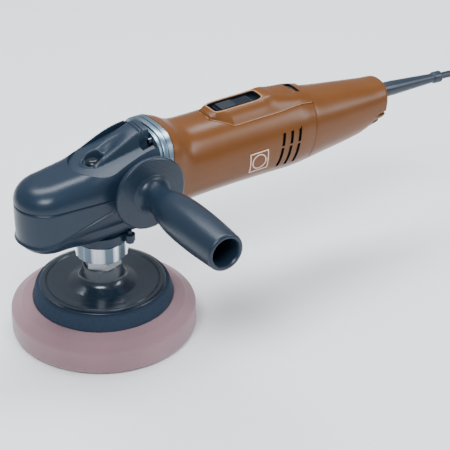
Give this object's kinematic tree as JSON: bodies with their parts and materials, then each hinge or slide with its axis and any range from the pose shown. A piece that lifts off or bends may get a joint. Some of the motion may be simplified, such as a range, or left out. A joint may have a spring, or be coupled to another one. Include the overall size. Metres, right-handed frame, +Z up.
{
  "type": "rotary polisher",
  "caption": "Right-angle electric rotary polisher with a foam pad on a backing plate, a side handle, a slide switch, a speed dial and a mains lead.",
  "frame": {"origin": "middle of the foam pad's working face, on the spindle axis", "axes": "+Z up the spindle axis, from the pad to the gear head; +X from the gear head along the motor to the cord"},
  "size_m": [0.6465, 0.238, 0.1849],
  "materials": {
    "pad_foam": "open-cell polishing foam, matt",
    "cushion_foam": "closed-cell cushion foam, speckled",
    "plate_plastic": "glass-filled nylon, satin",
    "head_paint": "satin slate-blue enamel on die-cast metal",
    "head_plastic": "satin slate-blue plastic",
    "bright_ring": "turned and brushed",
    "bright_steel": "ground and plated",
    "gear_steel": "ground, lightly oiled",
    "bearing_steel": "ground",
    "cast_alloy": "die-cast",
    "spring_steel": "drawn wire",
    "black_plastic": "moulded",
    "copper_wire": "varnished copper",
    "laminations": "stacked sheet",
    "carbon": "pressed graphite",
    "body_plastic": "satin orange-brown nylon",
    "badge_print": "raised pale outline",
    "grip_plastic": "fine-textured plastic",
    "cord_rubber": "smooth rubber sheath",
    "plug_rubber": "moulded rubber"
  },
  "bodies": {
    "housing": {"lower_bearing": "bearing_steel", "upper_bearing": "bearing_steel", "bearing_flange": "head_paint", "flange_screws": "gear_steel", "gear_case": "head_paint", "gear_bridge": "cast_alloy", "bridge_screws": "gear_steel", "counter_lower_bearing": "bearing_steel", "counter_top_bearing": "bearing_steel", "front_motor_bearing": "bearing_steel", "rear_motor_bearing": "bearing_steel", "bearing_cup": "plug_rubber", "brush_carrier": "black_plastic", "brush_springs": "spring_steel", "stator_core": "laminations", "stator_windings": "copper_wire", "air_baffle": "black_plastic", "head_cover": "head_plastic", "top_panel": "head_plastic", "lock_spring": "spring_steel", "joint_ring": "bright_ring", "joint_screws": "bright_steel", "motor_housing": "body_plastic", "switch_plate": "body_plastic", "switch_body": "black_plastic", "speed_module": "black_plastic", "rear_cover": "body_plastic", "badge": "badge_print", "side_handle": "grip_plastic", "handle_stud": "gear_steel", "cord_clamp": "black_plastic", "cord_relief": "cord_rubber", "cord_run": "cord_rubber", "cord_coil": "cord_rubber", "cord_tail": "cord_rubber", "cord_tie": "black_plastic", "plug_body": "plug_rubber", "plug_pins": "bright_steel"},
    "spindle_unit": {"foam_pad": "pad_foam", "backing_cushion": "cushion_foam", "backing_plate": "plate_plastic", "hub_insert": "gear_steel", "spindle": "gear_steel", "spindle_collar": "bright_steel", "spindle_gear": "gear_steel", "spindle_circlip": "spring_steel"},
    "counter_unit": {"countershaft": "gear_steel", "bevel_gear": "gear_steel"},
    "armature_unit": {"bevel_pinion": "gear_steel", "lock_ring": "gear_steel", "armature_shaft": "gear_steel", "cooling_fan": "black_plastic", "armature_core": "laminations", "armature_windings": "copper_wire", "commutator": "copper_wire"},
    "slide_switch": {"switch_slider": "black_plastic"},
    "lock_pin": {"lock_button": "head_plastic"},
    "dial": {"speed_dial": "black_plastic"},
    "left_brush": {"brush_left": "carbon"},
    "right_brush": {"brush_right": "carbon"}
  },
  "joints": [
    {"name": "spindle_spin", "type": "hinge", "parent": "housing", "child": "spindle_unit", "pos_m": [0, 0, 0.1], "axis": [0, 0, 1], "continuous": true},
    {"name": "countershaft_spin", "type": "hinge", "parent": "housing", "child": "counter_unit", "pos_m": [-0.0375, 0, 0.12], "axis": [0, 0, 1], "continuous": true},
    {"name": "armature_spin", "type": "hinge", "parent": "housing", "child": "armature_unit", "pos_m": [0, 0, 0.139], "axis": [1, 0, 0], "continuous": true},
    {"name": "switch_slide", "type": "slide", "parent": "housing", "child": "slide_switch", "axis": [-1, 0, 0], "range_m": [0, 0.006]},
    {"name": "lock_press", "type": "slide", "parent": "housing", "child": "lock_pin", "axis": [0, 0, -1], "range_m": [0, 0.0028], "stiffness_N_per_m": 300, "springref_m": -0.002, "deforming": ["lock_spring"]},
    {"name": "dial_turn", "type": "hinge", "parent": "housing", "child": "dial", "pos_m": [0.19, 0, 0.157], "axis": [1, 0, 0], "range_deg": [0, 300]},
    {"name": "left_brush_slide", "type": "slide", "parent": "housing", "child": "left_brush", "axis": [0, -1, 0], "range_m": [0, 0.003], "stiffness_N_per_m": 200, "springref_m": -0.002, "deforming": ["brush_springs"]},
    {"name": "right_brush_slide", "type": "slide", "parent": "housing", "child": "right_brush", "axis": [0, 1, 0], "range_m": [0, 0.003], "stiffness_N_per_m": 200, "springref_m": -0.002, "deforming": ["brush_springs"]}
  ],
  "couplings": [
    {"joint": "countershaft_spin", "follows": "spindle_spin", "ratio": -1.5},
    {"joint": "armature_spin", "follows": "spindle_spin", "ratio": -4.5}
  ]
}
